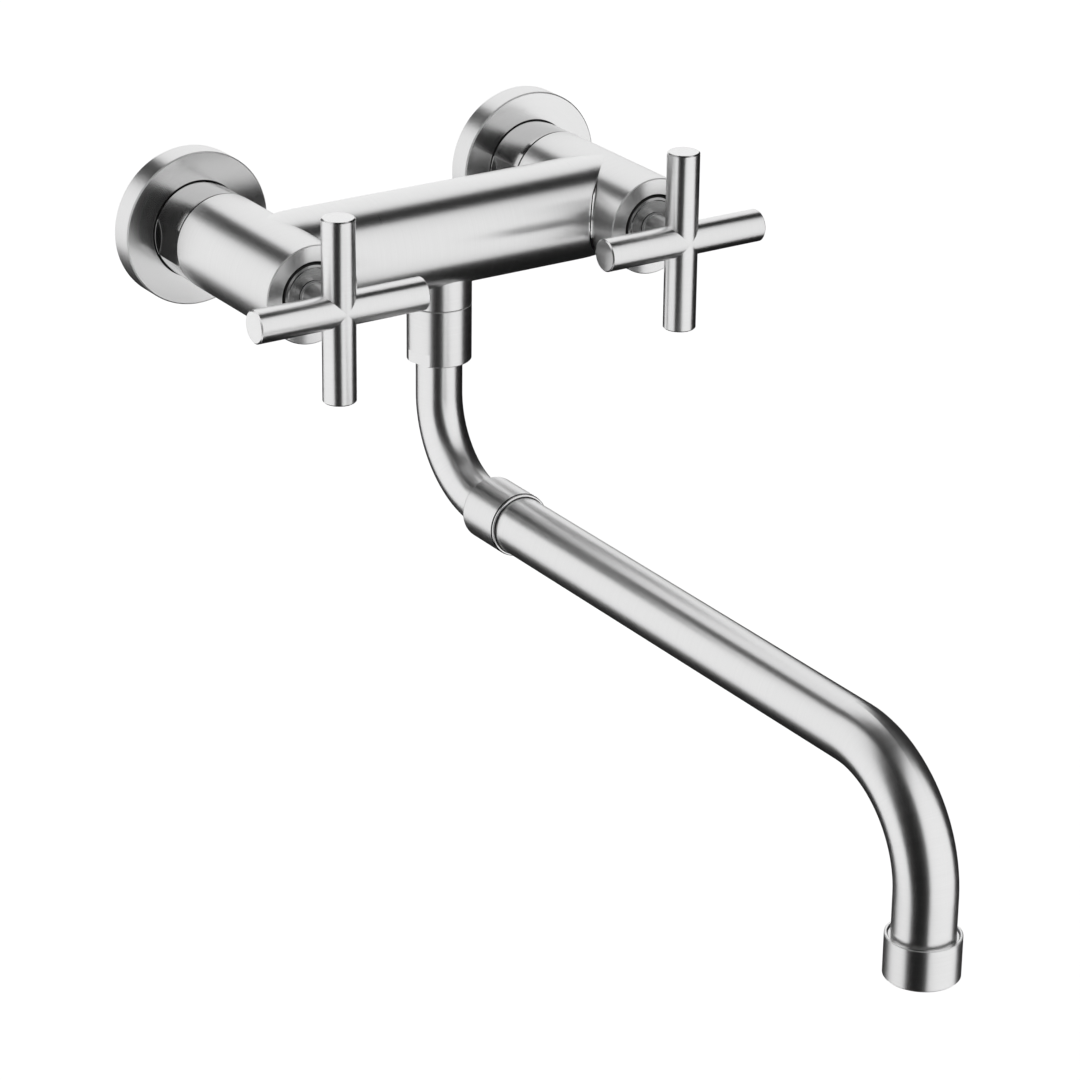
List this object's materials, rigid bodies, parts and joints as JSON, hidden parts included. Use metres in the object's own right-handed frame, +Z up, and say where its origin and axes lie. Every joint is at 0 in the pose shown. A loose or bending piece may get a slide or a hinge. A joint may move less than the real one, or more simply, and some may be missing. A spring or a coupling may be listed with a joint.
{
  "type": "wall-mounted bridge mixer tap",
  "caption": "Wall-mounted bridge mixer in brushed steel with cross handles on level arms and a swivel spout that slides out, ending in a jet regulator.",
  "frame": {"origin": "on the wall plane, midway between the two inlets, at the height of the arms' axes", "axes": "+X right along the wall as seen by the user, +Y into the wall, +Z up"},
  "size_m": [0.2202, 0.4052, 0.2067],
  "materials": {
    "brushed_steel": "fine brushed",
    "inner_brass": "turned",
    "plated_brass": "nickel plated, turned",
    "seal_rubber": "matte",
    "disc_ceramic": "lapped ceramic",
    "guide_nylon": "moulded",
    "dark_steel": "blackened"
  },
  "bodies": {
    "mixer": {"rosette_left": "brushed_steel", "rosette_right": "brushed_steel", "wall_union_left": "inner_brass", "wall_union_right": "inner_brass", "union_nut_left": "brushed_steel", "union_nut_right": "brushed_steel", "inlet_seals": "seal_rubber", "inlet_strainers": "guide_nylon", "arm_left": "brushed_steel", "arm_right": "brushed_steel", "bridge": "brushed_steel", "headwork_left": "plated_brass", "headwork_right": "plated_brass", "seat_seals": "seal_rubber", "fixed_discs": "disc_ceramic", "thrust_washers": "guide_nylon", "outlet_boss": "brushed_steel", "swivel_nut": "brushed_steel", "slip_rings": "guide_nylon"},
    "hot_handle": {"turning_disc_left": "disc_ceramic", "spindle_left": "inner_brass", "spindle_seals_left": "seal_rubber", "handle_left": "brushed_steel", "grub_screw_left": "dark_steel"},
    "cold_handle": {"turning_disc_right": "disc_ceramic", "spindle_right": "inner_brass", "spindle_seals_right": "seal_rubber", "handle_right": "brushed_steel", "grub_screw_right": "dark_steel"},
    "spout_arm": {"spout_tail": "inner_brass", "tail_seals": "seal_rubber", "spout_elbow": "brushed_steel", "guide_ring": "guide_nylon"},
    "spout_slide": {"slide_collar": "brushed_steel", "collar_ring": "brushed_steel", "slide_bush": "guide_nylon", "slide_seals": "seal_rubber", "spout_tube": "brushed_steel", "stop_ring": "inner_brass", "guide_rail": "dark_steel", "outlet_adapter": "brushed_steel", "regulator_sleeve": "brushed_steel", "regulator_seal": "seal_rubber", "jet_former": "guide_nylon"}
  },
  "joints": [
    {"name": "hot_handle_turn", "type": "hinge", "parent": "mixer", "child": "hot_handle", "pos_m": [-0.075, -0.1162, 0], "axis": [0, -1, 0], "range_deg": [0, 90]},
    {"name": "cold_handle_turn", "type": "hinge", "parent": "mixer", "child": "cold_handle", "pos_m": [0.075, -0.1162, 0], "axis": [0, 1, 0], "range_deg": [0, 90]},
    {"name": "spout_swivel", "type": "hinge", "parent": "mixer", "child": "spout_arm", "pos_m": [0, -0.0632, -0.0315], "axis": [0, 0, 1], "range_deg": [-90, 90]},
    {"name": "spout_extend", "type": "slide", "parent": "spout_arm", "child": "spout_slide", "axis": [0, -1, 0], "range_m": [0, 0.1]}
  ]
}
